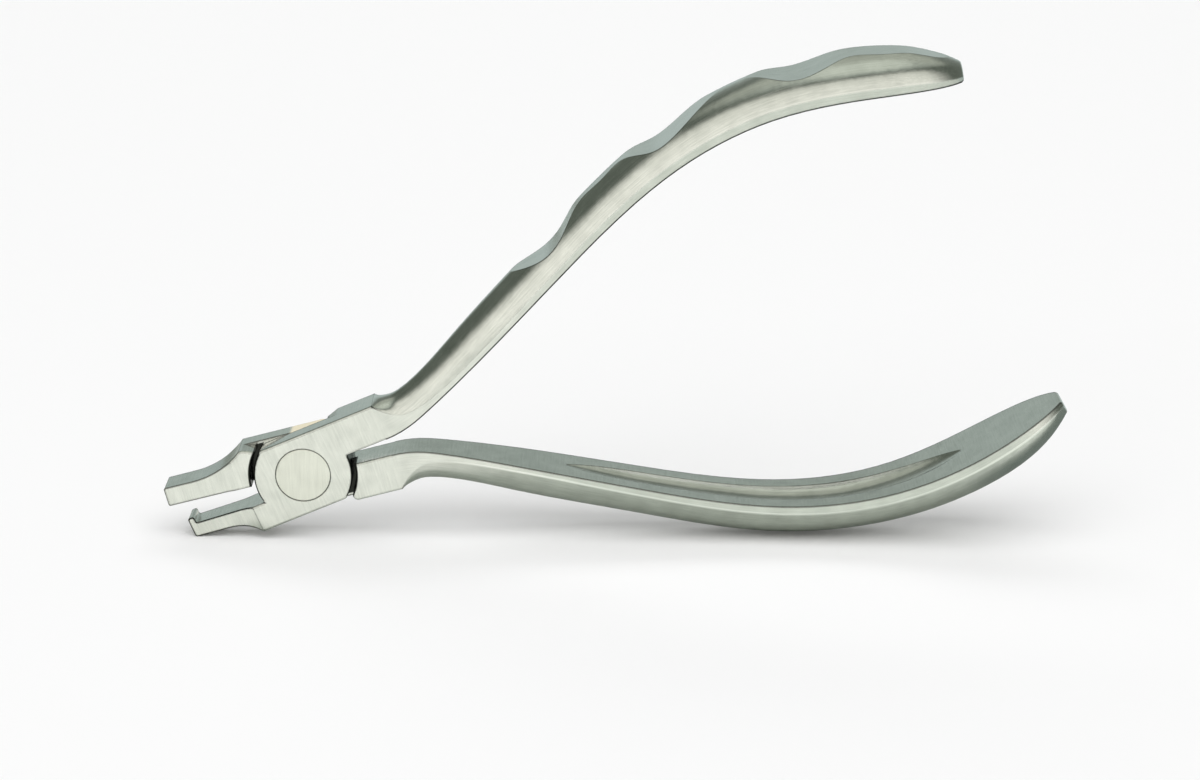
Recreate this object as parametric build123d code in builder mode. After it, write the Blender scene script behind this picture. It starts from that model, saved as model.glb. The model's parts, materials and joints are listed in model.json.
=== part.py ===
from build123d import *
from math import asin, cos, degrees, radians, sin, sqrt
import os

# Orthodontic pliers with a lap joint: two forged halves that cross, and the pivot screw.
# Millimetres and degrees. Origin on the pivot axis at the joint's rear face.
# X runs from the jaws to the handles, Y from front to back, Z up.

# How the pliers stand: the closing line rises towards the handles, and the halves are part open
tool_tilt = 18.7
opening = 8.2

# Lap joint: each half is a full-thickness band with half of it cut away round the pivot
joint_thickness = 6.6
lap_gap = 0.05
band_width = 12.2
lap_radius = 7.6
shoulder_gap = 0.6
plate_corner = 0.8
block_length = 14.2
block_inner = 0.3
lead_in_length = 2.6
lead_in_depth = 0.8
edge_rounding = 0.3
edge_break = 0.15
end_rounding = 0.5

# Pivot screw: flush head, plain shank that the front half turns on, threaded end in the rear half
head_diameter = 8.5
head_thickness = 1.5
shank_diameter = 5.4
thread_diameter = 4.0
running_clearance = 0.03
thread_clearance = 0.02
ring_bevel = 0.12

# Handle: how far its inner face reaches along the closing line and bows away from it,
# and points of that face as shares of the two
handle_reach = 115.5
bow_height = 24.6
handle_shares = [(0.077, 0.085), (0.28, 0.455), (0.472, 0.801), (0.689, 1.0), (0.896, 0.862), (1.0, 0.731)]
end_slope = -15.5

# Handle sections: distance along the inner face, width, depth, and flat side next to the inner face
block_depth = band_width / 2 - block_inner
handle_sections = [
    (0.0, joint_thickness, block_depth, block_depth),
    (1.8, 6.6, 5.75, 4.2),
    (4.2, 6.7, 5.25, 2.4),
    (8.0, 7.1, 4.85, 1.3),
    (19.5, 9.0, 5.2, 0.9),
    (39.0, 10.8, 5.4, 1.1),
    (61.0, 12.6, 5.8, 1.3),
    (78.5, 14.4, 6.1, 1.4),
    (90.0, 15.5, 6.3, 1.4),
    (98.5, 13.7, 5.7, 1.3),
    (104.0, 9.4, 4.1, 1.0),
    (106.8, 4.6, 2.6, 0.8),
]

# Rounded side of a section, as shares of its size: lean and height of the flanks, spread of the crown
flank_lean = 0.14
flank_height = 0.55
crown_spread = 0.64

# Finger grips of the front half: distance along the handle and depth below its crown
grip_wave = [
    (29.5, -0.6),
    (33.2, 0.25),
    (37.5, 1.75),
    (41.0, 1.8),
    (46.8, 0.2),
    (52.0, 0.1),
    (57.0, 0.25),
    (60.6, 1.65),
    (63.8, 1.75),
    (71.5, 0.2),
    (74.5, 0.1),
    (77.6, 0.2),
    (81.6, 1.5),
    (85.6, 1.4),
    (90.0, 0.5),
    (95.0, 0.4),
    (99.0, 0.35),
    (103.0, 0.25),
    (106.5, -0.6),
]

# Flute along the middle of each handle's inner face: distance, half width and depth
flute_sections = [
    (27.0, 0.3, 0.06),
    (30.5, 1.5, 0.45),
    (36.0, 2.3, 0.8),
    (44.0, 2.65, 0.95),
    (62.0, 3.1, 1.1),
    (76.0, 3.4, 1.1),
    (83.0, 3.0, 0.9),
    (87.0, 1.9, 0.5),
    (89.5, 0.5, 0.08),
]

flute_clear = 1.0

# Front half's jaw, below the closing line: slim, with an upturned lip across its tip
front_jaw_reach = 19.8
front_jaw_root = 1.8
front_jaw_mouth = 1.05
front_jaw_depth = 3.15
front_block_nose = 9.4
front_neck_reach = 14.4
front_neck_depth = 3.75
lip_thickness = 1.0
front_tip_thickness = 4.0
front_neck_thickness = 4.8

# Rear half's jaw, above the closing line: a flat working face and a square end
rear_jaw_reach = 21.6
rear_jaw_face = 0.12
rear_jaw_depth = 3.1
rear_block_nose = 10.2
rear_block_top = 8.6
rear_neck_reach = 17.0
rear_tip_thickness = 5.2
rear_neck_thickness = 5.5
tip_rounding = 0.3
scoop_length = 2.6

# Values that follow from those above
half_thickness = joint_thickness / 2
half_band = band_width / 2
shoulder_radius = lap_radius + shoulder_gap
corner_x = sqrt(lap_radius**2 - half_band**2)
shoulder_x = sqrt(shoulder_radius**2 - half_band**2)
corner_angle = degrees(asin(half_band / lap_radius))
inner_angle = degrees(asin(block_inner / lap_radius))
# The crown of a five-sided curve lies at its full depth when its middle points are pulled this far
crown_pull = (16 - 5 * flank_height) / 10


def half_plane(angle, side):
    """A half's own plane: x along its closing line, y towards its handle, z out through its plate."""
    along = Vector(cos(radians(angle)), 0, sin(radians(angle)))
    return Plane(origin=(0, -half_thickness, 0), x_dir=along, z_dir=(0, side, 0))


front_plane = half_plane(tool_tilt + opening / 2, -1)
rear_plane = half_plane(tool_tilt - opening / 2, 1)
handle_line = Spline(
    (block_length, block_inner),
    *[(block_length + (handle_reach - block_length) * x, bow_height * y) for x, y in handle_shares],
    tangents=[(1, 0), (cos(radians(end_slope)), sin(radians(end_slope)))],
)
stretch = handle_line.length / handle_sections[-1][0]


def handle_run(distance):
    """Direction of the inner face at a distance along it, as the handle's tables count it."""
    return handle_line.tangent_at(distance * stretch, PositionMode.LENGTH)


def handle_point(distance, lift=0.0):
    """A point at a distance along the inner face, lifted off it towards the handle's crown."""
    run = handle_run(distance)
    return handle_line.position_at(distance * stretch, PositionMode.LENGTH) + Vector(-run.Y, run.X) * lift


def section_plane(half, distance):
    """The plane square to the handle at a distance: x across it, y out of its inner face."""
    run = handle_run(distance)
    along = half.x_dir * run.X + half.y_dir * run.Y
    return Plane(origin=half.from_local_coords(handle_point(distance)), x_dir=-half.z_dir, z_dir=along)


def handle_depth(distance):
    """Depth of the handle at a distance, between the two sections next to it."""
    for (start, _, near, _), (end, _, far, _) in zip(handle_sections, handle_sections[1:]):
        if distance <= end:
            return near + (far - near) * (distance - start) / (end - start)


def joint_band(half, body, jaw, lead_ins):
    """Band with rounded plate ends and a jaw, cut to half its thickness round the pivot."""
    with BuildSketch(half) as outline:
        with BuildLine():
            near_end = CenterArc((0, 0), lap_radius, inner_angle, -inner_angle - corner_angle)
            jaw_root = jaw(near_end @ 1)
            root_angle = degrees(asin(-jaw_root.Y / lap_radius))
            far_end = CenterArc((0, 0), lap_radius, 180 + root_angle, -root_angle - corner_angle)
            Polyline(far_end @ 1, (block_length, half_band), (block_length, block_inner), near_end @ 0)
        make_face()
        for corner in [(corner_x, -half_band), (-corner_x, half_band)]:
            fillet(outline.vertices().sort_by_distance(corner)[0], plate_corner)
    extrude(outline.sketch, amount=half_thickness, both=True)
    with BuildSketch(half.offset(lap_gap / 2)) as pocket:
        Circle(shoulder_radius)
        for turn in lead_ins:
            with BuildLine():
                Polyline(
                    (turn * shoulder_x, turn * (half_band - lead_in_depth)),
                    (turn * (shoulder_x + lead_in_length), turn * half_band),
                    (turn * shoulder_x, turn * (half_band + lead_in_depth)),
                    close=True,
                )
            make_face()
    extrude(pocket.sketch, amount=-joint_thickness, mode=Mode.SUBTRACT)
    if 1 not in lead_ins:
        shoulder = half.from_local_coords((shoulder_x, half_band, -half_thickness / 2))
        fillet(body.edges().filter_by(Axis.Y).sort_by_distance(shoulder)[0], plate_corner)


def flat_edges(half, body, way):
    """Edges of the joint's flat faces that look one way, except where the handle goes on."""
    edges = []
    for face in body.faces().filter_by(Axis.Y):
        outer = abs(half.to_local_coords(face.center()).Z) > half_thickness - edge_rounding
        if outer and face.normal_at().Y * way > 0:
            for edge in face.edges():
                if half.to_local_coords(edge.center()).X < block_length - edge_rounding:
                    edges.append(edge)
    return edges


def jaw_flanks(half, block_nose, neck_thickness, reach, tip_thickness):
    """Slim both sides of a jaw, with a scoop from the joint's flat face down to its neck."""
    neck = (-block_nose - scoop_length, neck_thickness / 2)
    tip = (-reach - scoop_length, tip_thickness / 2)
    with BuildSketch(Plane(origin=half.origin, x_dir=half.x_dir, z_dir=half.y_dir)) as waste:
        with BuildLine():
            flank = Line(tip, neck)
            scoop = TangentArc(neck, (-block_nose, half_thickness), tangent=flank % 1)
            Polyline(scoop @ 1, (-block_nose, joint_thickness), (tip[0], joint_thickness), tip)
        make_face()
        mirror(about=Plane.XZ)
    extrude(waste.sketch, amount=band_width, both=True, mode=Mode.SUBTRACT)


def handle(half, body):
    """D-shaped handle, lofted through its sections, with a flute in its flat inner face."""
    sections = []
    for distance, width, depth, flat_side in handle_sections:
        side = width / 2
        swell = depth - flat_side
        with BuildSketch(section_plane(half, distance)) as section:
            with BuildLine():
                Polyline((-side, flat_side), (-side, 0), (side, 0), (side, flat_side))
                Bezier(
                    (side, flat_side),
                    (side - flank_lean * swell, flat_side + flank_height * swell),
                    (side * crown_spread, flat_side + crown_pull * swell),
                    (-side * crown_spread, flat_side + crown_pull * swell),
                    (-side + flank_lean * swell, flat_side + flank_height * swell),
                    (-side, flat_side),
                )
            make_face()
        sections.append(section.sketch)
    loft(sections)
    end = half.from_local_coords(handle_point(handle_sections[-1][0], handle_sections[-1][2] / 2))
    fillet(body.faces().sort_by_distance(end)[0].edges(), end_rounding)
    hollows = []
    for distance, half_width, depth in flute_sections:
        with BuildSketch(section_plane(half, distance)) as hollow:
            with BuildLine():
                Bezier(
                    (-half_width, 0),
                    (-half_width / 2, depth * 4 / 3),
                    (half_width / 2, depth * 4 / 3),
                    (half_width, 0),
                )
                Polyline(
                    (half_width, 0),
                    (half_width, -flute_clear),
                    (-half_width, -flute_clear),
                    (-half_width, 0),
                )
            make_face()
        hollows.append(hollow.sketch)
    loft(hollows, mode=Mode.SUBTRACT)


def finger_grips(half):
    """Shallow scallops across the handle's crown, all cut by one waving line."""
    with BuildSketch(half) as scallops:
        with BuildLine():
            wave = Spline(*[handle_point(at, handle_depth(at) - depth) for at, depth in grip_wave])
            ends = [grip_wave[0][0], grip_wave[len(grip_wave) // 2][0], grip_wave[-1][0]]
            above = ThreePointArc(*[handle_point(at, handle_depth(at) + band_width) for at in ends])
            Line(wave @ 0, above @ 0)
            Line(wave @ 1, above @ 1)
        make_face()
    extrude(scallops.sketch, amount=band_width, both=True, mode=Mode.SUBTRACT)


def front_jaw(start):
    """Front half's jaw, from the band's lower edge round the lip to the joint."""
    heel = (-front_block_nose, -half_band)
    neck = (-front_neck_reach, -front_neck_depth)
    root = Vector(-sqrt(lap_radius**2 - front_jaw_root**2), -front_jaw_root)
    tip = FilletPolyline(
        neck,
        (-front_jaw_reach, -front_jaw_depth),
        (-front_jaw_reach, 0),
        (-front_jaw_reach + lip_thickness, 0),
        (-front_jaw_reach + lip_thickness, -front_jaw_mouth),
        (-front_block_nose, -front_jaw_root),
        root,
        radius=tip_rounding,
    )
    TangentArc(neck, heel, tangent=-(tip % 0))
    Line(heel, start)
    return root


def rear_jaw(start):
    """Rear half's jaw, from the band's upper edge round the square tip to the joint."""
    heel = (-rear_block_top, -half_band)
    neck = (-rear_neck_reach, -rear_jaw_depth)
    root = Vector(-sqrt(lap_radius**2 - rear_jaw_face**2), -rear_jaw_face)
    tip = FilletPolyline(
        neck,
        (-rear_jaw_reach, -rear_jaw_depth),
        (-rear_jaw_reach, -rear_jaw_face),
        root,
        radius=tip_rounding,
    )
    TangentArc(neck, heel, tangent=-(tip % 0))
    Line(heel, start)
    return root


os.makedirs("parts", exist_ok=True)

# Front half: scalloped upper handle, front lap plate and lower jaw in one forging
with BuildPart() as front_half:
    joint_band(front_plane, front_half, front_jaw, [1, -1])
    fillet(flat_edges(front_plane, front_half, -1), edge_rounding)
    chamfer(flat_edges(front_plane, front_half, 1), edge_break)
    jaw_flanks(front_plane, front_block_nose, front_neck_thickness, front_jaw_reach, front_tip_thickness)
    handle(front_plane, front_half)
    finger_grips(front_plane)
    with Locations(front_plane.offset(half_thickness)):
        CounterBoreHole(
            radius=shank_diameter / 2 + running_clearance,
            counter_bore_radius=head_diameter / 2 + running_clearance,
            counter_bore_depth=head_thickness + running_clearance,
            depth=joint_thickness,
        )
front_half.part.label = "front_half"
export_step(front_half.part, "parts/front_half.step")

# Rear half: smooth lower handle, rear lap plate and upper jaw in one forging
with BuildPart() as rear_half:
    joint_band(rear_plane, rear_half, rear_jaw, [-1])
    fillet(flat_edges(rear_plane, rear_half, -1), edge_rounding)
    chamfer(flat_edges(rear_plane, rear_half, 1), edge_break)
    jaw_flanks(rear_plane, rear_block_nose, rear_neck_thickness, rear_jaw_reach, rear_tip_thickness)
    handle(rear_plane, rear_half)
    with Locations(rear_plane.offset(half_thickness)):
        Hole(thread_diameter / 2 + thread_clearance, depth=joint_thickness)
rear_half.part.label = "rear_half"
export_step(rear_half.part, "parts/rear_half.step")

# Pivot screw: turned in one, seated on the rear half's lap face and ground flush at both ends
with BuildPart() as pivot_screw:
    with BuildSketch(Plane.XY):
        with BuildLine():
            head_end = head_thickness - joint_thickness
            seat = (lap_gap - joint_thickness) / 2
            Polyline(
                (0, -joint_thickness),
                (head_diameter / 2 - ring_bevel, -joint_thickness),
                (head_diameter / 2, ring_bevel - joint_thickness),
                (head_diameter / 2, head_end),
                (shank_diameter / 2, head_end),
                (shank_diameter / 2, seat),
                (thread_diameter / 2, seat),
                (thread_diameter / 2, -ring_bevel),
                (thread_diameter / 2 - ring_bevel, 0),
                (0, 0),
                close=True,
            )
        make_face()
    revolve(axis=Axis.Y)
pivot_screw.part.label = "pivot_screw"
export_step(pivot_screw.part, "parts/pivot_screw.step")
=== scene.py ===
import json
import math
import bpy
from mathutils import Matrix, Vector

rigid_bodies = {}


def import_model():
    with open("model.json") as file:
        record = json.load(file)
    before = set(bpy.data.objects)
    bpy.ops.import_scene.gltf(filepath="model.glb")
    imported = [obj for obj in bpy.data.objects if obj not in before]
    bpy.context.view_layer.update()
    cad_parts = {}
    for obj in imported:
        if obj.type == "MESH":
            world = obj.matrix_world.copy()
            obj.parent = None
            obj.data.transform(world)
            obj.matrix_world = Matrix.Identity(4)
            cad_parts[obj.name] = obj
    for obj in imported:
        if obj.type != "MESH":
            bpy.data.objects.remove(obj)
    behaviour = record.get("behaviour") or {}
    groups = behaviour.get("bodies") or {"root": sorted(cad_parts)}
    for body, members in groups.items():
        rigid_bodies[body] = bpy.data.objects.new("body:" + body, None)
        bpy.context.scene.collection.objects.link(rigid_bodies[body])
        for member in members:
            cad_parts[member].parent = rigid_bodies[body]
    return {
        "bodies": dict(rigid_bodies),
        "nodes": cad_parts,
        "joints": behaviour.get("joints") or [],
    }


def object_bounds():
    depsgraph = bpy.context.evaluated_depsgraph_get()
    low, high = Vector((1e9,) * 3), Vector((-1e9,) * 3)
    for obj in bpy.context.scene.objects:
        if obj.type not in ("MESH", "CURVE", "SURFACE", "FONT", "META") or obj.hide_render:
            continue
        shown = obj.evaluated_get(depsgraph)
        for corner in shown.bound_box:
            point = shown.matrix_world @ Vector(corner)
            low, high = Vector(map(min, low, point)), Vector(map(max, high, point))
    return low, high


# Orthodontic pliers in satin stainless steel, standing on the lower handle and the jaws
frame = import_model()
kept = set(frame["nodes"].values()) | set(frame["bodies"].values())
for thing in [o for o in bpy.data.objects if o not in kept]:
    bpy.data.objects.remove(thing)
cad_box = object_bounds()

MM = 0.001
MID_Y = frame["joints"][0]["pos_m"][1]

# Lengths on the tool are in millimetres from the pivot: along a half's own closing line, off that line
# toward its handle, and through the thickness. The closing lines are turned by these angles.
FRONT_ANGLE = math.radians(22.8)
REAR_ANGLE = math.radians(14.6)

# Handles, as (distance along, height): the inner face off the closing line
BOW = [
    (0, 0),
    (14.2, 0.3),
    (18, 0.77),
    (22, 2.05),
    (26, 3.72),
    (36, 8.1),
    (48, 13.7),
    (60, 19.0),
    (66, 21.2),
    (72, 22.93),
    (78, 24.07),
    (84, 24.56),
    (90, 24.31),
    (96, 23.43),
    (108, 20.24),
    (115.5, 17.98),
]
# and the crease where the flat side meets the crown, off the inner face
CREASE = [
    (0, 5.8),
    (14.2, 5.8),
    (18.4, 2.5),
    (22, 1.4),
    (32, 0.99),
    (50, 1.21),
    (70, 1.35),
    (99.5, 1.43),
    (108, 1.35),
    (115.5, 0.84),
]
TABLE_RUN = 120.0
TABLE_RISE = 30.0
HANDLE_START = (13.0, 17.0)
INNER_FACE = 0.2
FLUTE_EDGE = 3.8
CREASE_LINE = (-0.2, 0.18)

# Joint: distances from the pivot to a lap plate's rounded end, the shoulder across the gap and the screw's rim
PLATE_END = (7.36, 7.7)
SHOULDER = (7.5, 8.46)
HEAD_RIM = (4.17, 4.5)
PAST_HEAD = 4.7
HALF_WIDTH = 5.7
HALF_THICKNESS = 3.5
JAW_END = (-1.5, HALF_WIDTH)
HANDLE_END = (-HALF_WIDTH, 0.2)
SHOULDER_DEPTH = (-HALF_THICKNESS, 0.3)
WALL_SOFTNESS = 0.05
END_SOFTNESS = 0.1

# Steel: dark and light tones of the grain, and the painted shade and painted highlight lines on it
STEEL = ((0.57, 0.585, 0.55), (0.89, 0.895, 0.855))
SCREW_STEEL = ((0.63, 0.635, 0.58), (0.85, 0.855, 0.79))
PAINTED_SHADE_LINE = (0.03, 0.032, 0.028)
PAINTED_HIGHLIGHT = (0.97, 0.97, 0.94)
STEEL_ROUGHNESS = 0.19
GRAIN_STRENGTH = 0.35
GRAIN_DEPTH = 0.01 * MM
# Streak scales along and across the closing line
ACROSS = (1.0, 0.05)
LENGTHWISE = (0.03, 1.5)
EDGE_BREADTH = 0.6 * MM
EDGE_ROUNDING = 0.35 * MM

# A painted warm reflection, straw-coloured, on the rear plate's upper edge
PAINTED_WARM_REFLECTION = (0.92, 0.82, 0.6)
WARM_REFLECTION_ALONG = (-0.6, 6.2)
WARM_REFLECTION_OFF = (-6.4, -5.7)
WARM_REFLECTION_NONMETAL = 0.85

# Table, in metres: its own white, and what the steel alone mirrors of it, a painted reflection with painted
# shade
TABLE_REACH = 4.0
TABLE_WHITE = (0.9, 0.9, 0.9)
MIRRORED_PALE_LEFT = (0.91, 0.93, 0.87)
MIRRORED_SHADE_RIGHT = (0.715, 0.76, 0.695)
MIRRORED_GREY_BACK = (0.50, 0.58, 0.56)
UNDER_SHADE = (0.36, 0.395, 0.35)
END_SHADE = (0.17, 0.2, 0.18)
LEFT_SHADE = (0.2, 0.22, 0.19)
# Patches of painted shade that only the steel mirrors, as (from, to, softness), across and in depth
HANDLE_SHADE_PATCH = ((0.02, 0.5, 0.008), (-0.017, 0.06, 0.011))
JOINT_SHADE_PATCH = ((-0.01, 0.03, 0.004), (-0.0105, 0.06, 0.003))
END_SHADE_PATCH = ((0.108, 0.5, 0.01), (-0.016, 0.06, 0.011))
LEFT_SHADE_PATCH = (-0.15, -0.033, 0.006)
FIRST_BOUNCE = 1.5

# Surroundings, by direction: heights and depths as parts of 1, angles in radians
DARK_SIDE = (0.12, 0.138, 0.115)
BACK = (
    (0.0, (0.52, 0.60, 0.585)),
    (0.16, (0.47, 0.545, 0.525)),
    (0.3, (0.38, 0.435, 0.405)),
    (0.5, (0.2, 0.225, 0.2)),
    (1.0, DARK_SIDE),
)
CREAM_FRONT = (
    (0.0, (1.08, 1.075, 1.0)),
    (0.35, (0.97, 0.97, 0.895)),
    (0.85, (0.82, 0.825, 0.75)),
)
OVERHEAD_NEAR = (0.36, 0.40, 0.355)
OVERHEAD_FAR = (0.44, 0.47, 0.405)
ZENITH = (0.66, 0.705, 0.62)
ROOM_LIGHT = (0.32, 0.32, 0.32)
WHITE = (1.0, 1.0, 1.0)

# The photograph's viewpoint: a little above the tool, square to its front
CAMERA_PLACE = (0.0457, -0.4308, 0.1508)
CAMERA_DIP = 17.9
CAMERA_LENS = 87.75
CAMERA_SENSOR = 36.0


def add(tree, kind, inputs=None, **settings):
    """A node with its settings, its plain values set and its wires drawn."""
    node = tree.nodes.new(kind)
    for key, value in settings.items():
        setattr(node, key, value)
    for key, value in (inputs or {}).items():
        if isinstance(value, bpy.types.NodeSocket):
            tree.links.new(value, node.inputs[key])
        else:
            node.inputs[key].default_value = value
    return node


def calc(tree, operation, *values):
    """One step of arithmetic."""
    return add(tree, "ShaderNodeMath", dict(enumerate(values)), operation=operation).outputs[0]


def ramp(tree, factor, stops):
    """A colour ramp through (place, colour) stops."""
    node = add(tree, "ShaderNodeValToRGB", {"Fac": factor})
    marks = node.color_ramp.elements
    while len(marks) < len(stops):
        marks.new(0.5)
    for mark, (place, colour) in zip(marks, stops):
        mark.position = place
        mark.color = (*colour, 1)
    return node.outputs["Color"]


def mix(tree, factor, first, second):
    """A blend of two colours."""
    node = add(tree, "ShaderNodeMix", data_type="RGBA")
    for socket, value in zip((node.inputs[0], node.inputs[6], node.inputs[7]), (factor, first, second)):
        if isinstance(value, bpy.types.NodeSocket):
            tree.links.new(value, socket)
        else:
            socket.default_value = (*value, 1) if isinstance(value, tuple) else value
    return node.outputs[2]


def smooth(tree, value, start, end):
    """A smooth rise from 0 at one value to 1 at another."""
    inputs = {"Value": value, "From Min": start, "From Max": end}
    return add(tree, "ShaderNodeMapRange", inputs, interpolation_type="SMOOTHSTEP").outputs[0]


def above(tree, value, limit, soft):
    """1 above a limit and 0 below it, with a soft step."""
    return smooth(tree, value, limit - soft, limit + soft)


def below(tree, value, limit, soft):
    """1 below a limit and 0 above it, with a soft step."""
    return smooth(tree, value, limit + soft, limit - soft)


def band(tree, value, low, high, soft):
    """1 where a value lies between two limits, with soft ends."""
    return calc(tree, "MULTIPLY", above(tree, value, low, soft), below(tree, value, high, soft))


def group(name, inputs, outputs):
    """An empty shader group with named inputs and outputs."""
    tree = bpy.data.node_groups.new(name, "ShaderNodeTree")
    for label, kind, value in inputs:
        socket = tree.interface.new_socket(label, in_out="INPUT", socket_type=kind)
        if value is not None:
            socket.default_value = value
    for label, kind in outputs:
        tree.interface.new_socket(label, in_out="OUTPUT", socket_type=kind)
    return tree, tree.nodes.new("NodeGroupInput"), tree.nodes.new("NodeGroupOutput")


def table_curve(tree, along, table):
    """A smooth curve through a table of (distance, height) points."""
    curve = add(tree, "ShaderNodeFloatCurve", {"Value": calc(tree, "DIVIDE", along, TABLE_RUN)})
    points = curve.mapping.curves[0].points
    points[0].location = (table[0][0] / TABLE_RUN, table[0][1] / TABLE_RISE)
    points[1].location = (table[-1][0] / TABLE_RUN, table[-1][1] / TABLE_RISE)
    for run, rise in table[1:-1]:
        points.new(run / TABLE_RUN, rise / TABLE_RISE)
    curve.mapping.update()
    return calc(tree, "MULTIPLY", curve.outputs[0], TABLE_RISE)


def handle_coordinates():
    """Millimetres along the closing line, off the handle's bow, through the tool and off the crease."""
    tree, given, result = group(
        "handle coordinates",
        [("Place", "NodeSocketVector", None)],
        [
            ("Along", "NodeSocketFloat"),
            ("Off Bow", "NodeSocketFloat"),
            ("Through", "NodeSocketFloat"),
            ("Off Crease", "NodeSocketFloat"),
        ],
    )
    parts = add(tree, "ShaderNodeSeparateXYZ", {"Vector": given.outputs["Place"]})
    along, through, off = parts.outputs
    off_bow = calc(tree, "SUBTRACT", off, table_curve(tree, along, BOW))
    off_crease = calc(tree, "SUBTRACT", off_bow, table_curve(tree, along, CREASE))
    tree.links.new(along, result.inputs["Along"])
    tree.links.new(off_bow, result.inputs["Off Bow"])
    tree.links.new(through, result.inputs["Through"])
    tree.links.new(off_crease, result.inputs["Off Crease"])
    return tree


def brushed_grain():
    """Fine streaks of a satin finish: a height, a change of tone and a change of roughness."""
    tree, given, result = group(
        "brushed grain",
        [
            ("Streak Place", "NodeSocketVector", None),
            ("Cloud Place", "NodeSocketVector", None),
            ("Fine Scale", "NodeSocketFloat", 4.0),
            ("Cloud Scale", "NodeSocketFloat", 0.35),
        ],
        [
            ("Height", "NodeSocketFloat"),
            ("Tone", "NodeSocketFloat"),
            ("Roughness Shift", "NodeSocketFloat"),
        ],
    )
    fine = add(
        tree,
        "ShaderNodeTexNoise",
        {
            "Vector": given.outputs["Streak Place"],
            "Scale": given.outputs["Fine Scale"],
            "Detail": 3.0,
            "Roughness": 0.6,
        },
    ).outputs["Fac"]
    cloud = add(
        tree,
        "ShaderNodeTexNoise",
        {"Vector": given.outputs["Cloud Place"], "Scale": given.outputs["Cloud Scale"], "Detail": 2.0},
    ).outputs["Fac"]
    streak = calc(tree, "SUBTRACT", fine, 0.5)
    patch = calc(tree, "SUBTRACT", cloud, 0.5)
    tone = calc(tree, "ADD", streak, calc(tree, "MULTIPLY", patch, 0.8))
    shift = calc(tree, "MULTIPLY_ADD", streak, 0.22, calc(tree, "MULTIPLY", patch, 0.1))
    tree.links.new(fine, result.inputs["Height"])
    tree.links.new(calc(tree, "ADD", tone, 0.5), result.inputs["Tone"])
    tree.links.new(shift, result.inputs["Roughness Shift"])
    return tree


def edge_line():
    """A piece's edges: a mask that is 1 on a sharp edge, which carries painted shade, and the normal of its
    slight rounding.
    """
    tree, given, result = group(
        "edge line",
        [("Darkest", "NodeSocketFloat", 0.945), ("Clear", "NodeSocketFloat", 0.978)],
        [("Mask", "NodeSocketFloat"), ("Rounded", "NodeSocketVector")],
    )
    broad = add(tree, "ShaderNodeBevel", {"Radius": EDGE_BREADTH}, samples=8).outputs["Normal"]
    rounded = add(tree, "ShaderNodeBevel", {"Radius": EDGE_ROUNDING}, samples=6).outputs["Normal"]
    facing = add(tree, "ShaderNodeNewGeometry").outputs["Normal"]
    likeness = add(tree, "ShaderNodeVectorMath", {0: broad, 1: facing}, operation="DOT_PRODUCT")
    mask = add(
        tree,
        "ShaderNodeMapRange",
        {
            "Value": likeness.outputs["Value"],
            "From Min": given.outputs["Clear"],
            "From Max": given.outputs["Darkest"],
        },
    )
    tree.links.new(mask.outputs[0], result.inputs["Mask"])
    tree.links.new(rounded, result.inputs["Rounded"])
    return tree


COORDINATES = handle_coordinates()
GRAIN = brushed_grain()
EDGES = edge_line()


def new_material(name):
    """A material holding one Principled shader."""
    material = bpy.data.materials.new(name)
    material.use_nodes = True
    tree = material.node_tree
    return material, tree, tree.nodes["Principled BSDF"]


def lap_gap_shade(tree, spread, along, off_line, depth):
    """Painted shade in the joint's narrow gaps: the ends of a half's plate and its shoulders."""
    jaw_end = calc(
        tree,
        "MULTIPLY",
        below(tree, along, 0.0, END_SOFTNESS),
        band(tree, off_line, *JAW_END, END_SOFTNESS),
    )
    handle_end = calc(
        tree,
        "MULTIPLY",
        above(tree, along, 0.0, END_SOFTNESS),
        band(tree, off_line, *HANDLE_END, END_SOFTNESS),
    )
    plate = calc(
        tree,
        "MULTIPLY",
        band(tree, spread, *PLATE_END, WALL_SOFTNESS),
        band(tree, depth, 0.0, HALF_THICKNESS, WALL_SOFTNESS),
    )
    plate = calc(tree, "MULTIPLY", plate, calc(tree, "MAXIMUM", jaw_end, handle_end))
    shoulder = calc(
        tree,
        "MULTIPLY",
        band(tree, spread, *SHOULDER, WALL_SOFTNESS),
        band(tree, depth, *SHOULDER_DEPTH, WALL_SOFTNESS),
    )
    width = band(tree, off_line, -HALF_WIDTH, HALF_WIDTH, END_SOFTNESS)
    shoulder = calc(tree, "MULTIPLY", shoulder, width)
    return calc(tree, "MAXIMUM", plate, shoulder)


def head_rim_shade(tree, spread, *_):
    """A fine ring of painted shade round the pivot screw's head."""
    return band(tree, spread, *HEAD_RIM, 0.03)


def streaks(tree, faced, handle_place, lengthwise):
    """The satin grain's height, tone and roughness shift, across or lengthwise by a mask."""
    along, off_bow, through = handle_place
    outputs = []
    for run, cross in (ACROSS, LENGTHWISE):
        stretched = add(
            tree,
            "ShaderNodeCombineXYZ",
            {
                "X": calc(tree, "MULTIPLY", along, run),
                "Y": calc(tree, "MULTIPLY", off_bow, cross),
                "Z": calc(tree, "MULTIPLY", through, cross),
            },
        )
        grain = add(tree, "ShaderNodeGroup", node_tree=GRAIN)
        tree.links.new(stretched.outputs[0], grain.inputs["Streak Place"])
        tree.links.new(faced, grain.inputs["Cloud Place"])
        outputs.append(grain.outputs)
    blended = []
    for label in ("Height", "Tone", "Roughness Shift"):
        inputs = {0: lengthwise, 2: outputs[0][label], 3: outputs[1][label]}
        blended.append(add(tree, "ShaderNodeMix", inputs).outputs[0])
    return blended


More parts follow.
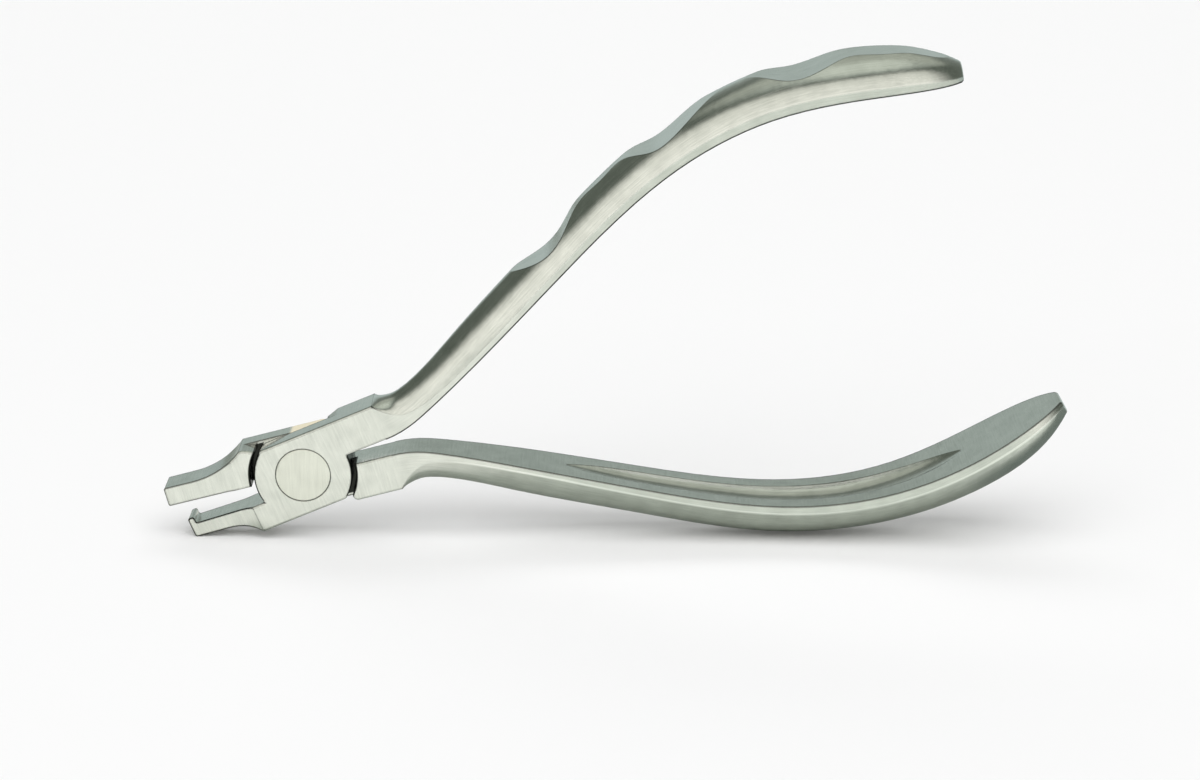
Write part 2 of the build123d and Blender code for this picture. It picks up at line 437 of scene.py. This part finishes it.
def satin_steel(name, angle, side, painted_gap_shade, tones, painted_edge_shade, crease_highlight, painted_warm_reflection=False):
    """Brushed stainless steel of one piece, with painted shade on its edges and gaps and a painted highlight
    on its crease. Side is 1 where its handle is the upper one, and -1 otherwise.
    """
    material, tree, shader = new_material(name)
    turned = add(
        tree,
        "ShaderNodeMapping",
        {
            "Vector": add(tree, "ShaderNodeTexCoord").outputs["Object"],
            "Rotation": (0, angle, 0),
            "Location": (0, -MID_Y / MM, 0),
            "Scale": (1 / MM, 1 / MM, 1 / MM),
        },
    ).outputs[0]
    faced = add(tree, "ShaderNodeVectorMath", {0: turned, 1: (1, 1, side)}, operation="MULTIPLY").outputs[0]
    spot = add(tree, "ShaderNodeGroup", node_tree=COORDINATES)
    tree.links.new(faced, spot.inputs["Place"])
    along, off_bow, through, off_crease = spot.outputs
    off_line = add(tree, "ShaderNodeSeparateXYZ", {"Vector": faced}).outputs["Z"]
    squares = [calc(tree, "POWER", length, 2.0) for length in (along, off_line)]
    spread = calc(tree, "POWER", calc(tree, "ADD", *squares), 0.5)

    # Streaks run along a handle's sides and crown, and across its inner face and the joint
    on_handle = smooth(tree, along, *HANDLE_START)
    lengthwise = calc(tree, "MULTIPLY", on_handle, above(tree, off_bow, INNER_FACE, 0.1))
    height, tone, shift = streaks(tree, faced, (along, off_bow, through), lengthwise)
    colour = mix(tree, tone, *tones)

    # A painted highlight runs along the crease, clear of the flute in the inner face
    flank = above(tree, calc(tree, "ABSOLUTE", through), FLUTE_EDGE, 0.3)
    flank = calc(tree, "MULTIPLY", on_handle, flank)
    highlight_mask = calc(tree, "MULTIPLY", flank, band(tree, off_crease, *CREASE_LINE, 0.08))
    colour = mix(tree, calc(tree, "MULTIPLY", highlight_mask, crease_highlight), colour, PAINTED_HIGHLIGHT)

    # Painted shade darkens the edges, except at the screw's head, and the joint's gaps
    edges = add(tree, "ShaderNodeGroup", node_tree=EDGES)
    outer = calc(tree, "MULTIPLY", edges.outputs["Mask"], above(tree, spread, PAST_HEAD, 0.1))
    colour = mix(tree, calc(tree, "MULTIPLY", outer, painted_edge_shade), colour, PAINTED_SHADE_LINE)
    depth = calc(tree, "MULTIPLY", through, -side)
    colour = mix(tree, painted_gap_shade(tree, spread, along, off_line, depth), colour, PAINTED_SHADE_LINE)

    shader.inputs["Metallic"].default_value = 1.0
    # Painted warm reflection: a straw patch, partly non-metallic, on the rear plate's upper edge
    if painted_warm_reflection:
        warm = calc(
            tree,
            "MULTIPLY",
            band(tree, along, *WARM_REFLECTION_ALONG, 0.4),
            band(tree, off_line, *WARM_REFLECTION_OFF, 0.05),
        )
        colour = mix(tree, warm, colour, PAINTED_WARM_REFLECTION)
        tree.links.new(calc(tree, "MULTIPLY_ADD", warm, -WARM_REFLECTION_NONMETAL, 1.0), shader.inputs["Metallic"])
    tree.links.new(colour, shader.inputs["Base Color"])
    tree.links.new(calc(tree, "ADD", shift, STEEL_ROUGHNESS), shader.inputs["Roughness"])
    bump = add(
        tree,
        "ShaderNodeBump",
        {
            "Strength": GRAIN_STRENGTH,
            "Distance": GRAIN_DEPTH,
            "Height": height,
            "Normal": edges.outputs["Rounded"],
        },
    )
    tree.links.new(bump.outputs["Normal"], shader.inputs["Normal"])
    return material


# Painted shade on edges and gaps and a painted highlight on the crease; the rear half also gets a painted warm
# reflection
MATERIALS = {
    "front_half": satin_steel(
        "satin steel front half", FRONT_ANGLE, 1, lap_gap_shade, STEEL, painted_edge_shade=1.0, crease_highlight=0.25
    ),
    "rear_half": satin_steel(
        "satin steel rear half", REAR_ANGLE, -1, lap_gap_shade, STEEL, painted_edge_shade=0.7, crease_highlight=0.95, painted_warm_reflection=True
    ),
    "pivot_screw": satin_steel(
        "satin steel pivot screw", 0.0, 1, head_rim_shade, SCREW_STEEL, painted_edge_shade=1.0, crease_highlight=0.0
    ),
}
for node, material in MATERIALS.items():
    frame["nodes"][node].material_slots[0].material = material


def card(tree, across, depth, sides, ends):
    """1 on a rectangle of the table, for a patch of painted shade, given by (from, to, softness) across and in
    depth.
    """
    return calc(tree, "MULTIPLY", band(tree, across, *sides), band(tree, depth, *ends))


def pale_floor():
    """A white table under the tool, with a painted reflection that only the steel mirrors: a grey back, a
    darker right side and patches of painted shade.
    """
    level = cad_box[0].z
    mesh = bpy.data.meshes.new("floor")
    signs = ((-1, -1), (1, -1), (1, 1), (-1, 1))
    mesh.from_pydata([(x * TABLE_REACH, y * TABLE_REACH, level) for x, y in signs], [], [(0, 1, 2, 3)])
    floor = bpy.data.objects.new("floor", mesh)
    bpy.context.scene.collection.objects.link(floor)
    material, tree, shader = new_material("white table")
    place = add(tree, "ShaderNodeTexCoord").outputs["Object"]
    across, depth, _ = add(tree, "ShaderNodeSeparateXYZ", {"Vector": place}).outputs
    # Painted reflection: the steel alone sees a pale left, a darker right side and a grey back
    mirrored = mix(tree, above(tree, across, 0.03, 0.012), MIRRORED_PALE_LEFT, MIRRORED_SHADE_RIGHT)
    mirrored = mix(tree, above(tree, depth, 0.05, 0.04), mirrored, MIRRORED_GREY_BACK)
    # Patches of painted shade under the handle, the joint and the handle's end, and on the left, seen only in
    # the steel
    under_handle = card(tree, across, depth, *HANDLE_SHADE_PATCH)
    under_joint = card(tree, across, depth, *JOINT_SHADE_PATCH)
    mirrored = mix(tree, calc(tree, "MAXIMUM", under_handle, under_joint), mirrored, UNDER_SHADE)
    mirrored = mix(tree, card(tree, across, depth, *END_SHADE_PATCH), mirrored, END_SHADE)
    mirrored = mix(tree, band(tree, across, *LEFT_SHADE_PATCH), mirrored, LEFT_SHADE)
    rays = add(tree, "ShaderNodeLightPath")
    first = calc(tree, "LESS_THAN", rays.outputs["Ray Depth"], FIRST_BOUNCE)
    glossy = calc(tree, "MULTIPLY", rays.outputs["Is Glossy Ray"], first)
    tree.links.new(mix(tree, glossy, TABLE_WHITE, mirrored), shader.inputs["Base Color"])
    shader.inputs["Roughness"].default_value = 0.6
    shader.inputs["Specular IOR Level"].default_value = 0.1
    mesh.materials.append(material)


def studio_world():
    """Soft surroundings: a bright front, a grey-green back, a pale card overhead and dark between."""
    world = bpy.data.worlds.new("studio")
    bpy.context.scene.world = world
    world.use_nodes = True
    tree = world.node_tree
    way = add(tree, "ShaderNodeTexCoord").outputs["Generated"]
    across, depth, height = add(tree, "ShaderNodeSeparateXYZ", {"Vector": way}).outputs
    turn = calc(tree, "ARCTAN2", across, calc(tree, "MULTIPLY", depth, -1.0))
    lift = calc(tree, "ARCSINE", height)

    # The back, which ends on the left
    rear = calc(tree, "MULTIPLY", smooth(tree, depth, 0.1, 0.75), above(tree, across, -0.42, 0.16))
    surround = mix(tree, rear, DARK_SIDE, ramp(tree, height, BACK))

    # A card overhead that reaches lower toward the back, and a paler patch straight above
    toward_back = smooth(tree, depth, -0.2, 0.4)
    over = above(tree, calc(tree, "MULTIPLY_ADD", toward_back, 0.3, lift), 1.12, 0.1)
    over = calc(tree, "MULTIPLY", over, above(tree, across, -0.6, 0.2))
    surround = mix(tree, over, surround, mix(tree, toward_back, OVERHEAD_NEAR, OVERHEAD_FAR))
    surround = mix(tree, above(tree, lift, 1.24, 0.12), surround, ZENITH)

    # The cream front, on the camera's side
    front = calc(tree, "MULTIPLY", band(tree, turn, -1.15, 1.1, 0.35), below(tree, lift, 0.96, 0.14))
    surround = mix(tree, front, surround, ramp(tree, lift, CREAM_FRONT))

    rays = add(tree, "ShaderNodeLightPath")
    seen = mix(tree, rays.outputs["Is Glossy Ray"], ROOM_LIGHT, surround)
    seen = mix(tree, rays.outputs["Is Camera Ray"], seen, WHITE)
    tree.links.new(seen, tree.nodes["Background"].inputs["Color"])


def lamp(name, place, target, width, depth, power):
    """A soft rectangular lamp that lights the table and stays out of the steel's reflections."""
    data = bpy.data.lights.new(name, "AREA")
    data.shape = "RECTANGLE"
    data.size = width
    data.size_y = depth
    data.energy = power
    light = bpy.data.objects.new(name, data)
    light.location = place
    light.rotation_euler = (Vector(target) - Vector(place)).to_track_quat("-Z", "Y").to_euler()
    light.visible_glossy = False
    bpy.context.scene.collection.objects.link(light)


def photo_camera():
    """A camera at the photograph's viewpoint."""
    data = bpy.data.cameras.new("camera")
    data.sensor_width = CAMERA_SENSOR
    data.lens = CAMERA_LENS
    data.clip_start = 0.01
    camera = bpy.data.objects.new("camera", data)
    camera.location = CAMERA_PLACE
    camera.rotation_euler = (math.radians(90.0 - CAMERA_DIP), 0, 0)
    bpy.context.scene.collection.objects.link(camera)
    bpy.context.scene.camera = camera


pale_floor()
studio_world()
lamp("overhead lamp", (0.045, -0.75, 2.2), (0.045, 0.7, 0), width=3.7, depth=3.1, power=64.0)
lamp("back lamp", (0.045, 1.1, 1.1), (0.045, 0.3, 0), width=1.6, depth=0.6, power=5.5)
photo_camera()
bpy.context.scene.view_settings.view_transform = "Standard"
